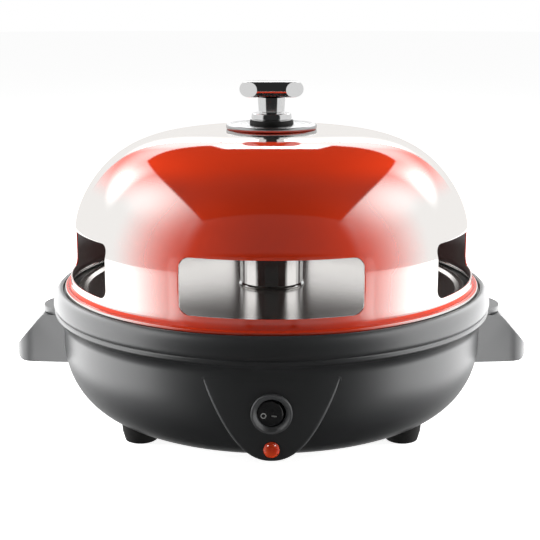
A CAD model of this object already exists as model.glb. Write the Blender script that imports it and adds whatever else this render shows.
from math import acos, cos, hypot, radians, sin, sqrt, tan

import bmesh
import bpy
from mathutils import Matrix, Vector


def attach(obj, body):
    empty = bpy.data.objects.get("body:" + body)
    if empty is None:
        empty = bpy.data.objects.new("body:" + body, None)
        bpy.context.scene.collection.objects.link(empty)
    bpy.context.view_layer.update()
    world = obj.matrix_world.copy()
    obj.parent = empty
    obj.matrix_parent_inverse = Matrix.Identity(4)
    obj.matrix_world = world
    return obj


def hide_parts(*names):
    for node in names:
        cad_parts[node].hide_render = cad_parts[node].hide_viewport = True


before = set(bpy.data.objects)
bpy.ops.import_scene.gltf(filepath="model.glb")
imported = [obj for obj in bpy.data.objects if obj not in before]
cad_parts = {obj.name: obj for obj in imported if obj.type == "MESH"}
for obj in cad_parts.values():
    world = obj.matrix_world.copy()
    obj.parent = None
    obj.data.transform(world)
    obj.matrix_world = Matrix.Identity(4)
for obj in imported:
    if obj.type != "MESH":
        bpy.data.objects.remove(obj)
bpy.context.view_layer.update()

# Lengths are in millimetres on the dome's axis, with the table at 0 and the switch
# facing -Y, until piece() turns them to metres.

# ---- camera ----------------------------------------------------------------------------

camera = bpy.data.objects.new("camera", bpy.data.cameras.new("camera"))
bpy.context.scene.collection.objects.link(camera)
bpy.context.scene.camera = camera
look_down = radians(12.9)
camera.data.sensor_width = 36
camera.data.lens = 80.66
camera.data.shift_x = -0.0028
camera.location = Vector((0, 0, 0.136)) + 1.15 * Vector((0, -cos(look_down), sin(look_down)))
camera.rotation_euler = (radians(90) - look_down, 0, 0)
bpy.context.scene.view_settings.view_transform = "Standard"


# ---- materials -------------------------------------------------------------------------

def linear(code):
    """An sRGB hex colour, such as "c0392b", as linear light."""
    steps = [int(code[i:i + 2], 16) / 255 for i in (0, 2, 4)]
    return tuple(c / 12.92 if c <= 0.04045 else ((c + 0.055) / 1.055) ** 2.4 for c in steps) + (1.0,)


def add(tree, kind, settings=None, links=None):
    """Adds one node. Settings are its properties or its inputs' values; links feed its inputs."""
    node = tree.nodes.new("ShaderNode" + kind)
    for key, value in (settings or {}).items():
        if isinstance(key, str) and key not in node.inputs:
            setattr(node, key, value)
        else:
            node.inputs[key].default_value = value
    for key, output in (links or {}).items():
        tree.links.new(output, node.inputs[key])
    return node


def wire(tree, made, rows):
    """Adds nodes row by row. A row has a name, a kind, its settings, and links to the names before it."""
    for name, kind, settings, links in rows:
        feeds = {key: made[source] for key, source in links.items()}
        made[name] = add(tree, kind, settings, feeds).outputs[0]


soft = {"interpolation_type": "SMOOTHSTEP"}
times, plus, minus = ({"operation": word} for word in ("MULTIPLY", "ADD", "SUBTRACT"))
most, unsigned = ({"operation": word} for word in ("MAXIMUM", "ABSOLUTE"))


def surface(name, colour, worn, patch_mm, grain_mm, depth_mm, rough, swing, stretch=(1, 1, 1), **shader):
    """A material whose colour drifts in patches, and whose roughness and relief follow a finer grain."""
    look = bpy.data.materials.new(name)
    look.use_nodes = True
    tree = look.node_tree
    tree.nodes.clear()
    place = add(tree, "TexCoord").outputs["Object"]
    drawn = add(tree, "Mapping", {"Scale": stretch}, {"Vector": place}).outputs[0]
    patch = add(tree, "TexNoise", {"Scale": 1000 / patch_mm, "Detail": 3.0}, {"Vector": place})
    grain = add(tree, "TexNoise", {"Scale": 1000 / grain_mm, "Detail": 2.0}, {"Vector": drawn})
    tint = add(tree, "Mix", {"data_type": "RGBA", 6: linear(colour), 7: linear(worn)}, {0: patch.outputs[0]})
    gloss = add(tree, "MapRange", {"To Min": rough - swing, "To Max": rough + swing},
                {"Value": grain.outputs[0]})
    relief = add(tree, "Bump", {"Distance": depth_mm / 1000}, {"Height": grain.outputs[0]})
    body = add(tree, "BsdfPrincipled", {key.replace("_", " "): value for key, value in shader.items()},
               {"Base Color": tint.outputs[2], "Roughness": gloss.outputs[0], "Normal": relief.outputs[0]})
    add(tree, "OutputMaterial", None, {"Surface": body.outputs[0]})
    return look


finishes = {
    # spark-eroded ABS: satin black, a fine even grain that softens every reflection
    "black_plastic": surface("black ABS, fine spark-eroded grain", "2a2b2c", "262728", 60, 0.9, 0.012,
                             0.36, 0.05, IOR=1.53),
    # polished moulding: deep black with sharp highlights and a faint ripple
    "gloss_black": surface("black polycarbonate, polished moulding", "1a1a1b", "1f1f20", 25, 6, 0.01,
                           0.26, 0.04, IOR=1.58),
    # moulded rubber: dull and slightly dusty
    "rubber": surface("black EPDM rubber, moulded", "1c1c1c", "2a2928", 12, 0.8, 0.03, 0.75, 0.1, IOR=1.5),
    # porcelain enamel fired on pressed steel: saturated orange red under a glassy skin
    "red_enamel": surface("red porcelain enamel, fired", "de3d1b", "d83816", 90, 9, 0.003, 0.42, 0.04,
                          Specular_IOR_Level=0.0, Coat_Weight=1.0, Coat_Roughness=0.04, Coat_IOR=1.5),
    # chrome plate over polished zinc: near mirror, with faint polishing haze
    "chrome": surface("chrome plate, polished", "d6d6d6", "dcdcdc", 30, 1.5, 0.001,
                      0.09, 0.03, Metallic=1.0),
    # zinc-plated steel sheet: grey, softly brushed along its length
    "steel": surface("zinc-plated steel, rolled", "9a9a96", "8b8b88", 18, 0.6, 0.006, 0.38, 0.08,
                     (0.15, 1, 1), Metallic=1.0),
    # metallic non-stick coat on a pressed plate: satin grey that carries soft reflections
    "non_stick": surface("grey metallic non-stick coating, sprayed", "b0aca8", "a6a29e", 40, 1.6, 0.004,
                         0.2, 0.04, Metallic=0.9),
    # sheathed heater tube: steel gone brown-grey from heat
    "heater_sheath": surface("heater tube sheath, heat-darkened", "57504b", "6a5a4c", 14, 0.8, 0.01,
                             0.42, 0.1, Metallic=0.8),
    # steatite insulator: off-white, glazed
    "ceramic": surface("steatite ceramic, glazed", "e5e0d4", "d8d2c4", 9, 1.2, 0.01, 0.32, 0.06, IOR=1.6),
    # stamped brass tabs: warm yellow with rolling lines
    "brass": surface("brass, stamped", "c9a14e", "b98d3f", 8, 0.5, 0.004, 0.3, 0.06,
                     (0.2, 1, 1), Metallic=1.0),
    # clear red lens: glossy, with light carried inside it
    "lamp_red": surface("red acrylic lens, moulded", "d01c1c", "f0602c", 4, 3, 0.01, 0.07, 0.02,
                        IOR=1.49, Transmission_Weight=0.25),
    # braided glass sleeve: off-white, dull, with the braid's small bumps
    "lead_sleeve": surface("glass-fibre sleeve, braided", "d8d0bd", "b9b09a", 3, 0.7, 0.15,
                           0.7, 0.1, IOR=1.5),
}
# ground-coat enamel inside the dome: nearly black brown, a little duller than the outside
ground_enamel = surface("brown ground-coat enamel, fired", "4a2b27", "3e2321", 70, 5, 0.02,
                        0.38, 0.05, IOR=1.5)
# turned face of the knob's disc: concentric cutting marks that fan the light
turned_chrome = surface("chromed disc, turned in circles", "bdbebf", "b3b4b5", 12, 0.5, 0.0005, 0.22, 0.03,
                        Metallic=1.0, Anisotropic=0.8)
# satin nylon round the switch: a lighter black whose edges catch the light
satin_nylon = surface("black nylon, satin moulding", "4b4c4d", "464748", 15, 1.0, 0.01, 0.42, 0.05, IOR=1.53)
# pad-printed marks: flat grey-white ink
white_ink = surface("grey-white ink, pad printed", "b8b8b6", "aaaaa8", 2, 0.5, 0.002, 0.5, 0.08, IOR=1.5)


def turn_round_axis(look):
    """Lays a brushed metal's highlight across circles about the upright axis."""
    tree = look.node_tree
    body = next(n for n in tree.nodes if n.type == "BSDF_PRINCIPLED")
    lines = add(tree, "Tangent", {"direction_type": "RADIAL", "axis": "Z"})
    tree.links.new(lines.outputs[0], body.inputs["Tangent"])


turn_round_axis(turned_chrome)


def glaze(look, colour, rough, bare):
    """Lays a white, nearly mirror-smooth skin over a finish. Its share grows as an upright wall turns away,
    is full at a grazing look, and is none between the two heights of the bare band, in metres."""
    tree = look.node_tree
    body = next(n for n in tree.nodes if n.type == "BSDF_PRINCIPLED")
    out = next(n for n in tree.nodes if n.type == "OUTPUT_MATERIAL")
    normal = add(tree, "NewGeometry").outputs["Normal"]
    place = add(tree, "TexCoord").outputs["Object"]
    band = (bare[1] - bare[0]) / 2
    made = {"facing": add(tree, "LayerWeight").outputs["Facing"],
            "level": add(tree, "SeparateXYZ", None, {0: normal}).outputs["Z"],
            "height": add(tree, "SeparateXYZ", None, {0: place}).outputs["Z"]}
    wire(tree, made, (
        ("turned", "MapRange", {**soft, "From Min": 0.08, "From Max": 0.40}, {"Value": "facing"}),
        ("upright", "MapRange", {**soft, "From Min": 0.86, "From Max": 0.52}, {"Value": "level"}),
        ("grazing", "MapRange", {**soft, "From Min": 0.756, "From Max": 0.782}, {"Value": "facing"}),
        ("on_wall", "Math", times, {0: "turned", 1: "upright"}),
        ("share", "Math", most, {0: "on_wall", 1: "grazing"}),
        ("from_band", "Math", {**minus, 1: sum(bare) / 2}, {0: "height"}),
        ("distance", "Math", unsigned, {0: "from_band"}),
        ("clear", "MapRange", {"From Min": band - 0.0005, "From Max": band}, {"Value": "distance"}),
        ("skin_share", "Math", times, {0: "share", 1: "clear"})))
    skin = add(tree, "BsdfAnisotropic", {"Color": linear(colour), "Roughness": rough}).outputs[0]
    both = add(tree, "MixShader", None, {0: made["skin_share"], 1: body.outputs[0], 2: skin}).outputs[0]
    tree.links.new(both, out.inputs["Surface"])


glaze(finishes["red_enamel"], "f8f5f2", 0.06, (0.1289, 0.1324))


# ---- shaping ---------------------------------------------------------------------------

def arc(cx, cz, rx, rz, start, end, count):
    """Points on part of an ellipse about (cx, cz), from one angle to another in degrees."""
    turns = [radians(start + (end - start) * i / count) for i in range(count + 1)]
    return [(cx + rx * cos(a), cz + rz * sin(a)) for a in turns]


def even(curve, count):
    """Points evenly spaced along a curve given by a function of 0 to 1."""
    fine = [curve(i / (60 * count)) for i in range(60 * count + 1)]
    run = [0.0]
    for (x0, z0), (x1, z1) in zip(fine, fine[1:]):
        run.append(run[-1] + hypot(x1 - x0, z1 - z0))
    picked = []
    at = 0
    for i in range(count + 1):
        while at < len(fine) - 1 and run[at] < run[-1] * i / count - 1e-9:
            at += 1
        picked.append(fine[at])
    return picked


def lathe(profile, steps=180, closed=False, start=0.0, sweep=360.0):
    """Spins a profile of (radius, height) points about the upright axis."""
    bm = bmesh.new()
    corners = [bm.verts.new((r, 0, z)) for r, z in profile]
    for a, b in zip(corners, corners[1:] + (corners[:1] if closed else [])):
        bm.edges.new((a, b))
    bmesh.ops.rotate(bm, verts=bm.verts, cent=(0, 0, 0), matrix=Matrix.Rotation(radians(start), 3, "Z"))
    bmesh.ops.spin(bm, geom=bm.verts[:] + bm.edges[:], axis=(0, 0, 1), cent=(0, 0, 0), steps=steps,
                   angle=radians(sweep), use_merge=sweep == 360)
    return tidy(bm)


def tidy(bm):
    """Merges doubles and points the faces outwards."""
    bmesh.ops.remove_doubles(bm, verts=bm.verts, dist=0.004)
    bmesh.ops.recalc_face_normals(bm, faces=bm.faces)
    return bm


def turn(bm, angle, axis, about=(0, 0, 0)):
    """Turns a mesh by so many degrees."""
    bmesh.ops.rotate(bm, verts=bm.verts, cent=about, matrix=Matrix.Rotation(radians(angle), 3, axis))
    return bm


def move(bm, x, y, z):
    """Moves a mesh."""
    bmesh.ops.translate(bm, verts=bm.verts, vec=(x, y, z))
    return bm


def cut(bm, point, normal, faces=None, clear=False, fill=False):
    """Cuts faces along a plane, and can clear what lies on the normal's side and close the cut."""
    faces = faces if faces is not None else bm.faces[:]
    geom = set(faces)
    for face in faces:
        geom.update(face.edges)
        geom.update(face.verts)
    done = bmesh.ops.bisect_plane(bm, geom=list(geom), plane_co=point, plane_no=normal, clear_outer=clear,
                                  dist=0.0005)
    if fill:
        edges = [e for e in done["geom_cut"] if isinstance(e, bmesh.types.BMEdge)]
        bmesh.ops.edgeloop_fill(bm, edges=edges)
    return bm


def punch(bm, outline, reach, facing):
    """Cuts a convex outline of (x, z) points along Y through the faces that look along facing."""
    for (x0, z0), (x1, z1) in zip(outline, outline[1:] + outline[:1]):
        side = hypot(x1 - x0, z1 - z0)
        ux, uz = (x1 - x0) / side, (z1 - z0) / side

        def near(face):
            c = face.calc_center_median()
            if face.normal.y * facing <= 0.2 or c.y * facing <= 0:
                return False
            along = min(max((c.x - x0) * ux + (c.z - z0) * uz, 0), side)
            return hypot(c.x - x0 - along * ux, c.z - z0 - along * uz) < reach

        cut(bm, (x0, 0, z0), (uz, 0, -ux), [f for f in bm.faces if near(f)])

    def inside(face):
        c = face.calc_center_median()
        if face.normal.y * facing <= 0.2 or c.y * facing <= 0:
            return False
        return all((x1 - x0) * (c.z - z0) - (z1 - z0) * (c.x - x0) > 0
                   for (x0, z0), (x1, z1) in zip(outline, outline[1:] + outline[:1]))

    bmesh.ops.delete(bm, geom=[f for f in bm.faces if inside(f)], context="FACES")
    return bm


def thicken(bm, wall):
    """Gives an outer skin its wall, inwards."""
    bmesh.ops.solidify(bm, geom=bm.faces[:], thickness=wall)
    return bm


def line_inside(bm, wall):
    """Gives an open outer skin with tight corners its wall, inwards along its corners' normals."""
    bm.normal_update()
    inwards = {v: -wall * v.normal for v in bm.verts}
    places = {v: v.co.copy() for v in bm.verts}
    made = bmesh.ops.extrude_face_region(bm, geom=bm.faces[:], use_keep_orig=True)
    fresh = [v for v in made["geom"] if isinstance(v, bmesh.types.BMVert)]
    near = {tuple(round(c, 4) for c in place): inwards[v] for v, place in places.items()}
    for v in fresh:
        v.co += near[tuple(round(c, 4) for c in v.co)]
    bmesh.ops.recalc_face_normals(bm, faces=bm.faces)
    return bm


def soften(bm, radius, segments=2, sharp=50, chosen=None):
    """Rounds the edges that turn more than so many degrees."""
    edges = [e for e in bm.edges if len(e.link_faces) == 2 and e.calc_face_angle() > radians(sharp)
             and (chosen is None or chosen(e))]
    bmesh.ops.bevel(bm, geom=edges, offset=radius, segments=segments, affect="EDGES", profile=0.5,
                    material=-1, clamp_overlap=True)
    return bm


def join(*parts):
    """One mesh from several."""
    whole = bmesh.new()
    for part in parts:
        lump = bpy.data.meshes.new("lump")
        part.to_mesh(lump)
        part.free()
        whole.from_mesh(lump)
        bpy.data.meshes.remove(lump)
    return whole


def piece(name, bm, looks, body, replaced=(), crease=32):
    """Makes a finished piece: metres, smooth faces with sharp creases, its body, slot and CAD nodes."""
    bmesh.ops.scale(bm, vec=(0.001, 0.001, 0.001), verts=bm.verts)
    for face in bm.faces:
        face.smooth = True
    for edge in bm.edges:
        edge.smooth = len(edge.link_faces) != 2 or edge.calc_face_angle() < radians(crease)
    mesh = bpy.data.meshes.new(name)
    bm.to_mesh(mesh)
    bm.free()
    for look in looks:
        mesh.materials.append(look)
    shape = bpy.data.objects.new(name, mesh)
    bpy.context.scene.collection.objects.link(shape)
    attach(shape, body)
    if replaced:
        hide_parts(*replaced)
    return shape


# ---- dome ------------------------------------------------------------------------------

dome_r = 188.0
dome_t = 1.2
foot_z = 134.0
shoulder_z = 172.3
crown_z = 270.3
crown_r = 44.0
screw_hole_r = 2.9
window_count = 5
window_w = 150.0
window_h = 47.5
window_corner = 8.5
window_z = 162.05
bead_r = 2.7


def dome_shoulder(t):
    """Radius and height from the top of the upright wall to the crown, for 0 to 1."""
    a = t * acos((crown_r / dome_r) ** 2.2)
    return dome_r * cos(a) ** (2 / 4.4), shoulder_z + (crown_z - shoulder_z) * sin(a) ** (2 / 1.38)


def rounded(w, h, r, cx, cz, count=8):
    """Outline of a rounded rectangle, anticlockwise seen from the front."""
    points = []
    for sx, sz, a in ((1, 1, 0), (-1, 1, 90), (-1, -1, 180), (1, -1, 270)):
        points += arc(cx + sx * (w / 2 - r), cz + sz * (h / 2 - r), r, r, a, a + 90, count)
    return points


def ring_outline(r, cx, cz, count=40):
    """Outline of a circle, anticlockwise seen from the front."""
    return arc(cx, cz, r, r, 0, 360, count)[:-1]


side = [(190, 128.6), (189.3, 130.1), (188.3, 132.1), (dome_r, foot_z)]
side += [(dome_r, foot_z + (shoulder_z - foot_z) * i / 10) for i in range(1, 10)]
side += even(dome_shoulder, 72)
side += [(r, crown_z) for r in (43, 30, 12, screw_hole_r)]

# one window's share of the dome is cut and then repeated round the axis
window_turn = 360 / window_count
dome = lathe(side, 48, start=-90 - window_turn / 2, sweep=window_turn)
punch(dome, rounded(window_w, window_h, window_corner, 0, window_z), 6, -1)
bmesh.ops.spin(dome, geom=dome.verts[:] + dome.edges[:] + dome.faces[:], axis=(0, 0, 1), cent=(0, 0, 0),
               steps=window_count - 1, angle=radians(360 - window_turn), use_duplicate=True)
tidy(dome)
if sum(f.normal.dot(f.calc_center_median() - Vector((0, 0, 170))) for f in dome.faces) < 0:
    bmesh.ops.reverse_faces(dome, faces=dome.faces)
thicken(dome, dome_t)
soften(dome, 0.3, 2, 50, lambda e: e.calc_length() < 6)
# the faces that look inwards get the ground coat
for face in dome.faces:
    middle = face.calc_center_median()
    if face.normal.dot(middle - Vector((0, 0, 130))) < -20:
        face.material_index = 1
bead = lathe(arc(191.2, 127, bead_r, bead_r, 0, 360, 20)[:-1], 240, True)
piece("dome_sheet", join(dome, bead), [finishes["red_enamel"], ground_enamel], "dome",
      ["dome_shell"])

# ---- knob ------------------------------------------------------------------------------

gasket_z = 274.9
collar_z = 278.5
stem_z = 284.9
bar_z = 299.3
bar_middle = 306.7
bar_top = 314.1
bar_half = 14.5

disc = lathe([(screw_hole_r, crown_z), (40.6, crown_z), (41.6, 270.9), (42, 271.9)]
             + arc(40.6, 273.5, 1.4, 1.4, 0, 90, 6) + [(24, gasket_z), (screw_hole_r, gasket_z)], 144, True)
piece("knob_disc_turned", disc, [turned_chrome], "dome", ["knob_disc"])
gasket = lathe([(screw_hole_r, gasket_z), (20.3, gasket_z), (20.3, 275.6), (20.1, 277.9),
                (19.8, collar_z), (screw_hole_r, collar_z)], 96, True)
piece("knob_gasket_moulded", gasket, [finishes["rubber"]], "dome", ["knob_gasket"])
collar = lathe([(screw_hole_r, collar_z), (18.5, collar_z), (18.8, 278.7), (18.8, 279.1),
                (18.5, 279.3), (17.7, 279.4), (17.6, 279.6), (17.7, 279.9), (18.5, 280), (18.8, 280.3)]
               + arc(17.2, 283.7, 1.2, 1.2, 8, 90, 6) + [(screw_hole_r, stem_z)], 96, True)
piece("knob_collar_polished", collar, [finishes["chrome"]], "dome", ["knob_collar"])
stem = lathe([(screw_hole_r, stem_z), (11.4, stem_z), (11.4, 285.8), (11.7, 286.1), (12, 286.3)]
             + [(12 + 0.8 * i / 6, 286.3 + 12 * i / 6) for i in range(1, 7)]
             + [(12.8, bar_z), (screw_hole_r, bar_z)], 96, True)
piece("knob_stem_polished", stem, [finishes["chrome"]], "dome", ["knob_stem"])

bar = lathe([(0, bar_z)] + arc(7.6, bar_middle, 7.4, 7.4, -90, 90, 20) + [(0, bar_top)], 96)
cut(bar, (0, 0, 0), (1, 0, 0))
right = [f for f in bar.faces if f.calc_center_median().x > 0]
split = bmesh.ops.split(bar, geom=right)
right = [v for v in split["geom"] if isinstance(v, bmesh.types.BMVert)]
left = [v for v in bar.verts if v not in set(right)]
bmesh.ops.translate(bar, verts=right, vec=(bar_half, 0, 0))
bmesh.ops.translate(bar, verts=left, vec=(-bar_half, 0, 0))
bmesh.ops.bridge_loops(bar, edges=[e for e in bar.edges if e.is_boundary])
tidy(bar)
for sx, sy in ((1, 1), (1, -1), (-1, 1), (-1, -1)):
    cut(bar, (sx * 30, 0, bar_middle), (sx * 26.79, sy * 30, 0), clear=True, fill=True)
tidy(bar)
piece("knob_bar_polished", bar, [finishes["chrome"]], "dome", ["knob_bar"])

# ---- rim ring --------------------------------------------------------------------------

ring = lathe([(203.2, 108.4), (204.2, 109.8)] + arc(196.7, 112, 8, 15, 0, 90, 24)
             + [(195.9, 126.8), (195.5, 126.3), (195.1, 125.4), (195, 124.2), (194.7, 124), (183.4, 124),
                (183.2, 124), (182.6, 123.6), (182.4, 123.2), (182.4, 119.6), (166, 119.6), (166, 115),
                (196, 115), (200, 111), (200, 108.4)], 240, True)
piece("rim_ring_moulded", ring, [finishes["black_plastic"]], "base", ["rim_ring"])

# ---- lower housing ---------------------------------------------------------------------

bowl_r = 196.0
wall = 3.0
panel_tip = 22.4
panel_top = 92.0
panel_half = 58.0
panel_pitch = 4.5
panel_deep = 45.0
panel_lip_z = 89.0
switch_z = 62.5
lamp_z = 32.4
gland_z = 56.0


def panel_x(z):
    """Half the control panel's width at a height."""
    return panel_half * max((z - panel_tip) / (panel_top - panel_tip), 0) ** 0.45


def panel_r(z):
    """The control panel's radius about the dome's axis at a height."""
    return bowl_r + (panel_top - z) * 4.6 / (panel_top - panel_tip)


bowl = lathe([(124.3, 8), (135, 8)] + arc(135, 75, 61, 67, -90, 0, 40)[1:]
             + [(196, 75 + 16 * i / 4) for i in range(1, 5)] + arc(210, 91, 14, 14, 180, 122, 16)[1:]
             + [(204, 105), (204, 107.4), (203.2, 108.4)], 240)
hidden = [f for f in bowl.faces if f.calc_center_median().y < -120 and f.calc_center_median().z < 80
          and abs(f.calc_center_median().x) < panel_x(f.calc_center_median().z) - 6]
bmesh.ops.delete(bowl, geom=hidden, context="FACES")
punch(bowl, ring_outline(12, 0, gland_z), 7, 1)
if sum(f.normal.dot(f.calc_center_median() - Vector((0, 0, 90))) for f in bowl.faces) < 0:
    bmesh.ops.reverse_faces(bowl, faces=bowl.faces)
thicken(bowl, wall)

edge_line = even(lambda t: (panel_half * t ** 0.45, panel_tip + (panel_top - panel_tip) * t), 44)
outline = edge_line + [(-x, z) for x, z in reversed(edge_line[1:])]
panel = bmesh.new()
corners = [panel.verts.new((x, 0, z)) for x, z in outline]
front = panel.faces.new(corners)
bmesh.ops.recalc_face_normals(panel, faces=[front])
if front.normal.y > 0:
    bmesh.ops.reverse_faces(panel, faces=[front])
made = bmesh.ops.extrude_face_region(panel, geom=[front])
shifted = [v for v in made["geom"] if isinstance(v, bmesh.types.BMVert)]
bmesh.ops.translate(panel, verts=shifted, vec=(0, -panel_deep, 0))
bmesh.ops.delete(panel, geom=[f for f in panel.faces if f.calc_center_median().y > -0.01], context="FACES")
front = min(panel.faces, key=lambda f: f.calc_center_median().y)
bmesh.ops.bevel(panel, geom=front.edges[:], offset=2.6, segments=6, affect="EDGES", profile=0.5,
                material=-1, clamp_overlap=False)
# the flat panel is cut in strips, so that it can be bent round the bowl
for i in range(-13, 14):
    cut(panel, (i * panel_pitch, 0, 0), (1, 0, 0))
for i in range(1, 16):
    cut(panel, (0, 0, panel_tip + i * panel_pitch), (0, 0, 1))
for v in panel.verts:
    depth = v.co.y + panel_deep
    sunk = max(v.co.z - panel_lip_z, 0) * 0.15
    v.co.y = depth + sunk - sqrt(panel_r(v.co.z) ** 2 - v.co.x ** 2)
bmesh.ops.recalc_face_normals(panel, faces=panel.faces)
if sum(f.normal.y * f.calc_area() for f in panel.faces) > 0:
    bmesh.ops.reverse_faces(panel, faces=panel.faces)
punch(panel, ring_outline(14.2, 0, switch_z), 7, -1)
punch(panel, ring_outline(7, 0, lamp_z), 7, -1)
bmesh.ops.remove_doubles(panel, verts=panel.verts, dist=0.05)
bmesh.ops.dissolve_degenerate(panel, edges=panel.edges, dist=0.02)
line_inside(panel, wall)

ears = []
for s in (-1, 1):
    ear = move(lathe([(0, 99), (33.2, 99)] + arc(33.2, 99.8, 0.8, 0.8, -90, 0, 3)[1:]
                     + arc(33.2, 103.6, 0.8, 0.8, 0, 90, 3) + [(0, 104.4)], 96), s * 183, 0, 0)
    ears.append(cut(ear, (s * 190, 0, 0), (-s, 0, 0), clear=True))
boss = lathe([(6.3, -8), (12, -8), (12, 6), (11.6, 6.4), (6.3, 6.4)], 64, True)
boss = move(turn(boss, -90, "X"), 0, 190, gland_z)
piece("housing_moulded", join(bowl, panel, *ears, boss), [finishes["black_plastic"]], "base",
      ["lower_housing"])

# ---- side handles ----------------------------------------------------------------------

handle_root = 184.0
handle_z = 53.0
handle_half = 30.0
for name, s in (("side_handle_right", 1), ("side_handle_left", -1)):
    view = [(handle_root, handle_z), (235.4, handle_z), (238.2, 53.6), (240.2, 54.6), (241.8, 56.1),
            (242.8, 58), (243.3, 60), (243.4, 62), (243, 64), (242.2, 66), (240.6, 68.6), (238.4, 71.5),
            (229.4, 82), (219.4, 93.8), (214.4, 98.8), (handle_root, 98.8)]
    handle = bmesh.new()
    face = handle.faces.new([handle.verts.new((x, handle_half, z)) for x, z in view])
    made = bmesh.ops.extrude_face_region(handle, geom=[face])
    bmesh.ops.translate(handle, verts=[v for v in made["geom"] if isinstance(v, bmesh.types.BMVert)],
                        vec=(0, -2 * handle_half, 0))
    bmesh.ops.recalc_face_normals(handle, faces=handle.faces)
    plan = [(handle_root, -28), (223.4, -25)] + arc(225.4, 0, 18, 24, -80, 80, 24)
    plan += [(223.4, 25), (handle_root, 28)]
    for (x0, y0), (x1, y1) in zip(plan, plan[1:]):
        cut(handle, (x0, y0, 0), (y1 - y0, x0 - x1, 0), clear=True, fill=True)
    bmesh.ops.recalc_face_normals(handle, faces=handle.faces)
    soften(handle, 2.4, 4, 26, lambda e: all(v.co.z > handle_z + 0.5 or abs(v.co.y) > 5 for v in e.verts)
           and min(v.co.x for v in e.verts) > handle_root - 1
           and max(v.co.x for v in e.verts) > handle_root + 0.5
           and max(v.co.z for v in e.verts) > handle_z + 0.5)
    open_side = [f for f in handle.faces
                 if f.calc_center_median().z < handle_z + 0.05
                 or f.calc_center_median().x < handle_root + 0.05]
    bmesh.ops.delete(handle, geom=open_side, context="FACES")
    thicken(handle, wall)
    if s < 0:
        bmesh.ops.mirror(handle, geom=handle.verts[:] + handle.edges[:] + handle.faces[:], axis="X",
                         matrix=Matrix.Identity(4), merge_dist=-1)
        bmesh.ops.delete(handle, geom=[v for v in handle.verts if v.co.x > 0], context="VERTS")
        bmesh.ops.recalc_face_normals(handle, faces=handle.faces)
    piece(name + "_moulded", handle, [finishes["black_plastic"]], "base", [name])

# ---- baking plate and column -----------------------------------------------------------

plate = lathe([(28.9, 121.6), (172, 121.6), (174.3, 122.1), (175.6, 123), (176.8, 124), (178.6, 124.6),
               (179.3, 124.4), (179.6, 124), (179.6, 119.6), (181.6, 119.6), (181.6, 124.6)]
              + arc(179.6, 124.6, 2, 2, 0, 90, 6)[1:] + [(178.6, 126.6), (177.8, 126.6), (176.7, 126.3),
               (175.8, 125.8), (173.4, 124.2), (172.4, 123.7), (171.2, 123.6), (120, 123.6), (70, 123.6),
               (28.9, 123.6)], 200, True)
piece("baking_plate_pressed", plate, [finishes["non_stick"]], "base", ["baking_plate"])
tube = lathe([(28.5, 119.6), (30.7, 123.65), (31.1, 124.4), (31.1, 124.9), (30.7, 125.4), (30, 126.1),
              (29.5, 126.6), (29.5, 165), (29.5, 205), (29.2, 205.6), (28.5, 205.6)], 96, True)
piece("column_tube_drawn", tube, [finishes["chrome"]], "base", ["column_tube"])

# ---- switch and lamp -------------------------------------------------------------------

bezel_y = -192.75
bezel = lathe([(11.75, 0), (13.9, 0), (13.9, 4.2), (16.8, 4.2), (16.8, 6.4)]
              + arc(16.1, 6.4, 0.7, 0.7, 0, 90, 5)[1:]
              + [(15.3, 7.1), (15, 6.95), (14.8, 6.6), (11.75, 3.9)], 96, True)
piece("switch_bezel_moulded", move(turn(bezel, 90, "X"), 0, bezel_y, switch_z), [satin_nylon],
      "base", ["switch_bezel"])

pivot_y = -189.45
rocker_y = -197.45
rocker_depth = 12.0
half_tilt = 7.0
tilt = tan(radians(half_tilt))
rocker = bmesh.new()
bmesh.ops.create_circle(rocker, cap_ends=True, segments=72, radius=10.5)
turn(rocker, 90, "X")
face = rocker.faces[:][0]
if face.normal.y > 0:
    bmesh.ops.reverse_faces(rocker, faces=[face])
made = bmesh.ops.extrude_face_region(rocker, geom=[face])
shifted = [v for v in made["geom"] if isinstance(v, bmesh.types.BMVert)]
bmesh.ops.translate(rocker, verts=shifted, vec=(0, -rocker_depth, 0))
cut(rocker, (0, 0, 0), (1, 0, 0))
for v in rocker.verts:
    if v.co.y < -1:
        v.co.y -= abs(v.co.x) * tilt
bmesh.ops.recalc_face_normals(rocker, faces=rocker.faces)
soften(rocker, 0.6, 3, 60, lambda e: all(v.co.y < -1 for v in e.verts))
move(rocker, 0, rocker_y + rocker_depth, switch_z)
turn(rocker, -half_tilt, "Z", (0, pivot_y, 0))
piece("switch_rocker_moulded", rocker, [finishes["gloss_black"]], "rocker", ["switch_rocker"])


def printed(bm):
    """Lays a flat mark on the rocker's V face."""
    for v in bm.verts:
        v.co.y = rocker_y - 0.05 - abs(v.co.x) * tilt - (0.04 if v.co.y < -0.01 else 0)
    return turn(bm, -half_tilt, "Z", (0, pivot_y, 0))


mark_z = switch_z - 1.9
off_ring = turn(lathe([(1.6, 0), (2.3, 0), (2.3, 0.04), (1.6, 0.04)], 40, True), 90, "X")
piece("switch_mark_O", printed(move(off_ring, -5.5, 0, mark_z)), [white_ink], "rocker")
on_bar = bmesh.new()
bmesh.ops.create_grid(on_bar, x_segments=4, y_segments=2, size=0.5)
bmesh.ops.scale(on_bar, vec=(4.1, 1.1, 1), verts=on_bar.verts)
bmesh.ops.solidify(on_bar, geom=on_bar.faces[:], thickness=0.04)
turn(on_bar, 90, "X")
piece("switch_mark_I", printed(move(on_bar, 3.1, 0, mark_z)), [white_ink], "rocker")

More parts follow.
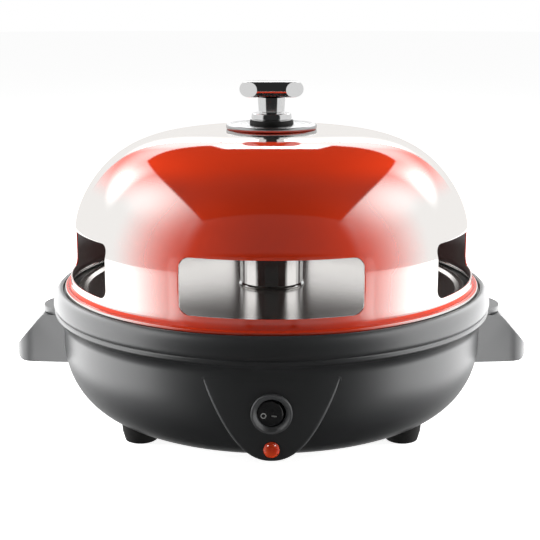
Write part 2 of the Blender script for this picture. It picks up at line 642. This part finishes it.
lens = lathe([(0, -1.5), (6.5, -1.5), (6.5, 0), (6.7, 0), (6.7, 0.7)]
             + arc(0, 0.7, 6.7, 3.5, 0, 90, 16)[1:], 72)
piece("pilot_lamp_lens_moulded", move(turn(lens, 90, "X"), 0, -199.1, lamp_z), [finishes["lamp_red"]],
      "base", ["pilot_lamp_lens"])

# ---- materials of the CAD nodes --------------------------------------------------------

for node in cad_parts.values():
    for held in node.material_slots:
        held.material = finishes[held.material.name.split(".")[0]]


# ---- studio ----------------------------------------------------------------------------

def studio_light(tree, direction):
    """How bright the studio is in a direction: white cloth stands on both sides and behind, up to a dark
    ceiling, with more light on the cloth behind and a strip light over it; the front is open and dark."""
    unit = add(tree, "VectorMath", {"operation": "NORMALIZE"}, {0: direction}).outputs[0]
    made = dict(zip("xyz", add(tree, "SeparateXYZ", None, {0: unit}).outputs))
    wire(tree, made, (
        ("out", "Math", unsigned, {0: "x"}),
        ("behind", "MapRange", {**soft, "From Min": -0.05, "From Max": 0.05}, {0: "y"}),
        # the cloth at the sides: its slanted top, and its edge towards the front
        ("side_height", "Math", {**times, 1: 1.27}, {0: "out"}),
        ("side_under", "Math", minus, {0: "side_height", 1: "z"}),
        ("side_top", "MapRange", {**soft, "From Min": -0.015, "From Max": 0.015}, {0: "side_under"}),
        ("side_depth", "Math", {**times, 1: 0.84}, {0: "out"}),
        ("side_past", "Math", plus, {0: "side_depth", 1: "y"}),
        ("side_edge", "MapRange", {**soft, "From Min": -0.1, "From Max": 0.1}, {0: "side_past"}),
        ("sides", "Math", times, {0: "side_top", 1: "side_edge"}),
        # the cloth behind, which rises to both sides
        ("back_height", "Math", {**times, 1: 0.44}, {0: "y"}),
        ("back_rise", "Math", {**times, 1: 0.52}, {0: "out"}),
        ("back_arch", "Math", plus, {0: "back_height", 1: "back_rise"}),
        ("back_under", "Math", minus, {0: "back_arch", 1: "z"}),
        ("back_top", "MapRange", {**soft, "From Min": -0.015, "From Max": 0.015}, {0: "back_under"}),
        ("back", "Math", times, {0: "back_top", 1: "behind"}),
        # more light on the cloth: in its middle, high up behind, and a little near the top
        ("middle_depth", "Math", {**times, 1: 0.45}, {0: "y"}),
        ("middle_in", "Math", minus, {0: "middle_depth", 1: "out"}),
        ("middle_width", "MapRange", {**soft, "From Min": 0.0, "From Max": 0.2}, {0: "middle_in"}),
        ("middle_up", "MapRange", {**soft, "From Min": 0.2, "From Max": 0.42}, {0: "z"}),
        ("middle", "Math", times, {0: "middle_up", 1: "middle_width"}),
        ("middle_lit", "Math", {**times, 1: 2.9}, {0: "middle"}),
        ("high_up", "MapRange", {**soft, "From Min": 0.28, "From Max": 0.5}, {0: "z"}),
        ("high_back", "MapRange", {**soft, "From Min": 0.4, "From Max": 0.65}, {0: "y"}),
        ("high", "Math", times, {0: "high_up", 1: "high_back"}),
        ("high_lit", "Math", {**times, 1: 2.6}, {0: "high"}),
        ("top", "MapRange", {**soft, "From Min": 0.4, "From Max": 0.75}, {0: "z"}),
        ("top_lit", "Math", {**times, 1: 0.45}, {0: "top"}),
        ("back_lit", "Math", most, {0: "middle_lit", 1: "high_lit"}),
        ("lit", "Math", most, {0: "back_lit", 1: "top_lit"}),
        # the strip light over the cloth behind
        ("strip_height", "Math", {**times, 1: 0.67}, {0: "y"}),
        ("strip_under", "Math", minus, {0: "strip_height", 1: "z"}),
        ("strip_top", "MapRange", {**soft, "From Min": -0.008, "From Max": 0.008}, {0: "strip_under"}),
        ("strip_depth", "Math", {**times, 1: 0.123}, {0: "y"}),
        ("strip_in", "Math", minus, {0: "strip_depth", 1: "out"}),
        ("strip_width", "MapRange", {**soft, "From Min": -0.01, "From Max": 0.01}, {0: "strip_in"}),
        ("strip_shape", "Math", times, {0: "strip_top", 1: "strip_width"}),
        ("strip_behind", "Math", times, {0: "strip_shape", 1: "behind"}),
        ("off_cloth", "Math", {**minus, 0: 1.0}, {1: "back"}),
        ("strip", "Math", times, {0: "strip_behind", 1: "off_cloth"}),
        ("strip_lit", "Math", {**times, 1: 7.0}, {0: "strip"}),
        # the whole: the cloth fades towards the ground, and the dark parts aren't quite black
        ("cloth", "Math", most, {0: "sides", 1: "back"}),
        ("cloth_level", "Math", {**plus, 1: 0.9}, {0: "lit"}),
        ("cloth_lit", "Math", times, {0: "cloth", 1: "cloth_level"}),
        ("above_ground", "MapRange", {**soft, "From Min": -0.85, "From Max": -0.45}, {0: "z"}),
        ("cloth_seen", "Math", times, {0: "cloth_lit", 1: "above_ground"}),
        ("strip_seen", "Math", {**plus, 1: 0.03}, {0: "strip_lit"}),
        ("light", "Math", plus, {0: "cloth_seen", 1: "strip_seen"})))
    return made["light"]


world = bpy.data.worlds.new("studio")
bpy.context.scene.world = world
world.use_nodes = True
tree = world.node_tree
tree.nodes.clear()
rays = add(tree, "LightPath").outputs
mirrored = add(tree, "Math", most, {0: rays["Is Glossy Ray"], 1: rays["Is Transmission Ray"]}).outputs[0]
room = studio_light(tree, add(tree, "TexCoord").outputs["Generated"])
level = add(tree, "Mix", {"data_type": "FLOAT", 2: 0.08}, {0: mirrored, 3: room}).outputs[0]
level = add(tree, "Mix", {"data_type": "FLOAT", 3: 1.0}, {0: rays["Is Camera Ray"], 2: level}).outputs[0]
sky = add(tree, "Background", {"Color": (1, 1, 1, 1)}, {"Strength": level})
add(tree, "OutputWorld", None, {"Surface": sky.outputs[0]})

# pale studio paper: white to the camera, with the object's shadow kept
paper = bpy.data.materials.new("studio paper, matt white")
paper.use_nodes = True
tree = paper.node_tree
tree.nodes.clear()
rays = add(tree, "LightPath").outputs
place = add(tree, "TexCoord").outputs["Object"]
fibre = add(tree, "TexNoise", {"Scale": 700.0, "Detail": 2.0}, {"Vector": place}).outputs[0]
relief = add(tree, "Bump", {"Distance": 0.00002}, {"Height": fibre}).outputs[0]
matt = add(tree, "BsdfDiffuse", {"Color": linear("f0f0f0")}, {"Normal": relief}).outputs[0]
lift = add(tree, "Emission", {"Strength": 0.9}).outputs[0]
seen = add(tree, "AddShader", None, {0: matt, 1: lift}).outputs[0]
both = add(tree, "MixShader", None, {0: rays["Is Camera Ray"], 1: matt, 2: seen}).outputs[0]
add(tree, "OutputMaterial", None, {"Surface": both})

floor = bmesh.new()
bmesh.ops.create_circle(floor, cap_ends=True, segments=96, radius=12)
mesh = bpy.data.meshes.new("floor")
floor.to_mesh(mesh)
floor.free()
mesh.materials.append(paper)
ground = bpy.data.objects.new("floor", mesh)
bpy.context.scene.collection.objects.link(ground)
ground.visible_glossy = False


def lamp(name, place, target, size, watts, gloss=False):
    """A square soft lamp aimed at a point."""
    light = bpy.data.lights.new(name, "AREA")
    light.shape = "SQUARE"
    light.size = size
    light.energy = watts
    unit = bpy.data.objects.new(name, light)
    unit.location = place
    unit.rotation_euler = (Vector(target) - Vector(place)).to_track_quat("-Z", "Y").to_euler()
    unit.visible_camera = False
    unit.visible_glossy = gloss
    bpy.context.scene.collection.objects.link(unit)
    return unit


lamp("left_soft_lamp", (-1.6, 0.22, 0.45), (0, 0, 0.18), 1.0, 54)
lamp("right_soft_lamp", (1.6, 0.22, 0.45), (0, 0, 0.18), 1.0, 54)
lamp("top_soft_lamp", (0, 0.3, 1.9), (0, 0, 0.2), 1.2, 14)


# ---- white cloth that only the gloss of named pieces mirrors -----------------------------

def white_cloth(name, strength):
    """White light of one strength over a panel, which fades at its edges and lets the rest through."""
    look = bpy.data.materials.new(name)
    look.use_nodes = True
    tree = look.node_tree
    tree.nodes.clear()
    rim = None
    for along in add(tree, "SeparateXYZ", None, {0: add(tree, "TexCoord").outputs["UV"]}).outputs[:2]:
        off = add(tree, "Math", {**minus, 1: 0.5}, {0: along}).outputs[0]
        off = add(tree, "Math", unsigned, {0: off}).outputs[0]
        fade = add(tree, "MapRange", {**soft, "From Min": 0.5, "From Max": 0.42}, {"Value": off}).outputs[0]
        rim = fade if rim is None else add(tree, "Math", times, {0: rim, 1: fade}).outputs[0]
    shine = add(tree, "Math", {**times, 1: strength}, {0: rim}).outputs[0]
    clear = add(tree, "BsdfTransparent").outputs[0]
    glow = add(tree, "Emission", None, {"Strength": shine}).outputs[0]
    both = add(tree, "AddShader", None, {0: clear, 1: glow}).outputs[0]
    add(tree, "OutputMaterial", None, {"Surface": both})
    return look


def receivers(name, *members):
    """The pieces whose gloss a cloth shows in."""
    group = bpy.data.collections.new(name)
    for one in members:
        group.objects.link(bpy.data.objects[one])
    return group


def only_mirrored(unit, group):
    """Lets a cloth show in the gloss of some pieces and nowhere else."""
    for ray in ("camera", "diffuse", "shadow", "transmission", "volume_scatter"):
        setattr(unit, "visible_" + ray, False)
    bpy.context.scene.collection.objects.link(unit)
    unit.light_linking.receiver_collection = group


plastic_gloss = receivers("plastic_gloss", "rim_ring_moulded", "housing_moulded", "side_handle_left_moulded",
                          "side_handle_right_moulded", "switch_bezel_moulded", "switch_rocker_moulded")


def soft_box(name, corners, strength, group):
    """A flat panel of light through four corners, in metres."""
    bm = bmesh.new()
    uv = bm.loops.layers.uv.new("panel")
    face = bm.faces.new([bm.verts.new(c) for c in corners])
    for loop, spot in zip(face.loops, ((0, 0), (1, 0), (1, 1), (0, 1))):
        loop[uv].uv = spot
    panel_mesh = bpy.data.meshes.new(name)
    bm.to_mesh(panel_mesh)
    bm.free()
    panel_mesh.materials.append(white_cloth(name + "_cloth", strength))
    only_mirrored(bpy.data.objects.new(name, panel_mesh), group)


for s, side_name in ((-1, "left"), (1, "right")):
    soft_box("soft_box_" + side_name, [(s * 1.2, -0.85, -0.6), (s * 1.2, 2.6, -0.6), (s * 1.2, 2.6, 1.9),
                                       (s * 1.2, -0.85, 1.9)], 3.8, plastic_gloss)
lens_gloss = receivers("lens_gloss", "pilot_lamp_lens_moulded")
for s, side_name in ((-1, "left"), (1, "right")):
    soft_box("lens_card_" + side_name, [(s * 0.95, -0.85, 0.6), (s * 0.65, -1.1, 0.6),
                                        (s * 0.55, -0.9, 0.95), (s * 0.85, -0.65, 0.95)], 16.0, lens_gloss)
front_cloth = [(-1.6, -1.5, -1.2), (1.6, -1.5, -1.2), (1.6, -1.5, 1.2), (-1.6, -1.5, 1.2)]
soft_box("front_card", front_cloth, 0.9, plastic_gloss)
soft_box("handle_card", front_cloth, 6.5, receivers("handle_gloss", "side_handle_left_moulded",
                                                    "side_handle_right_moulded"))

for s, side_name in ((-1, "left"), (1, "right")):
    soft_box("window_card_" + side_name, [(s * 0.15, -0.11, 0.04), (s * 0.15, 0.06, 0.04),
                                          (s * 0.15, 0.06, 0.24), (s * 0.15, -0.11, 0.24)], 1.4,
             receivers("hearth_gloss_" + side_name, "column_tube_drawn", "baking_plate_pressed"))

dome_gloss = receivers("dome_gloss", "dome_sheet")
cloth_y = -2.6
cloth_wing_y = -2.2
cloth_low = -1.6
cloth_mid = 1.3
cloth_high = 3.4
for s, side_name in ((-1, "left"), (1, "right")):
    soft_box("front_cloth_" + side_name, [(s * 0.5, cloth_y, cloth_low), (s * 3.4, cloth_wing_y, cloth_low),
                                          (s * 3.4, cloth_wing_y, cloth_mid), (s * 0.5, cloth_y, cloth_mid)],
             0.6, dome_gloss)
soft_box("front_cloth_middle", [(-0.5, cloth_y, cloth_low), (0.5, cloth_y, cloth_low),
                                (0.5, cloth_y, cloth_mid), (-0.5, cloth_y, cloth_mid)], 0.3, dome_gloss)
soft_box("front_cloth_high", [(-3.4, cloth_y, cloth_mid), (3.4, cloth_y, cloth_mid),
                              (3.4, cloth_wing_y, cloth_high), (-3.4, cloth_wing_y, cloth_high)],
         0.3, dome_gloss)
soft_box("floor_cloth", [(-2.5, -2.5, 0.001), (2.5, -2.5, 0.001), (2.5, 2.5, 0.001), (-2.5, 2.5, 0.001)],
         0.6, dome_gloss)
